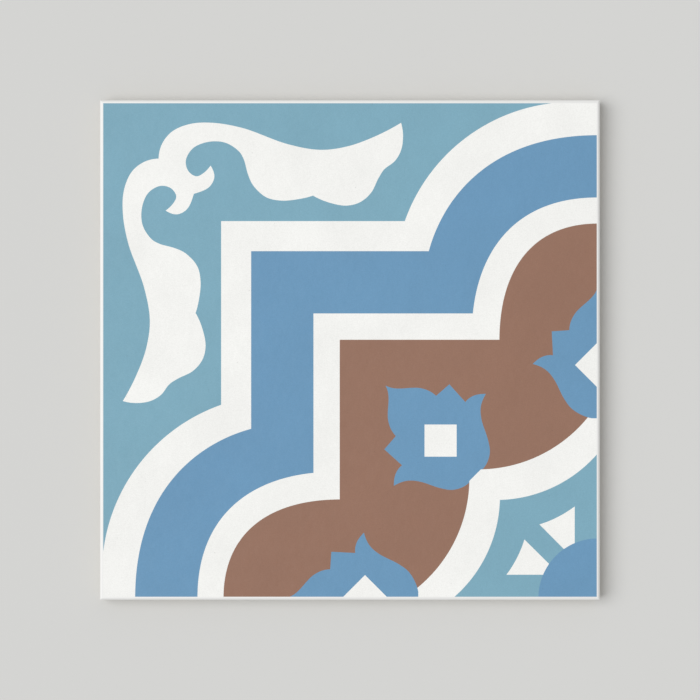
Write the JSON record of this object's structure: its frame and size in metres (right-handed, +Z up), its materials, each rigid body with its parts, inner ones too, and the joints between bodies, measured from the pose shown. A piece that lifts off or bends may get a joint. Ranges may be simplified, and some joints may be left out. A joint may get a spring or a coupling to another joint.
{
  "type": "floor tile",
  "caption": "Square glazed porcelain floor tile with rounded face edges, a keyed back and a quarter of a printed traditional cement-tile pattern.",
  "frame": {"origin": "middle of the back, on the plane that the tile lies on", "axes": "+Z up through the glazed face; +X and +Y square to two sides; the scroll corner of the print is at -X +Y"},
  "size_m": [0.2, 0.2, 0.0085],
  "materials": {
    "glazed_porcelain": "satin-matt printed glaze over a pale fired porcelain body"
  },
  "bodies": {
    "root": {"floor_tile": "glazed_porcelain"}
  },
  "joints": []
}
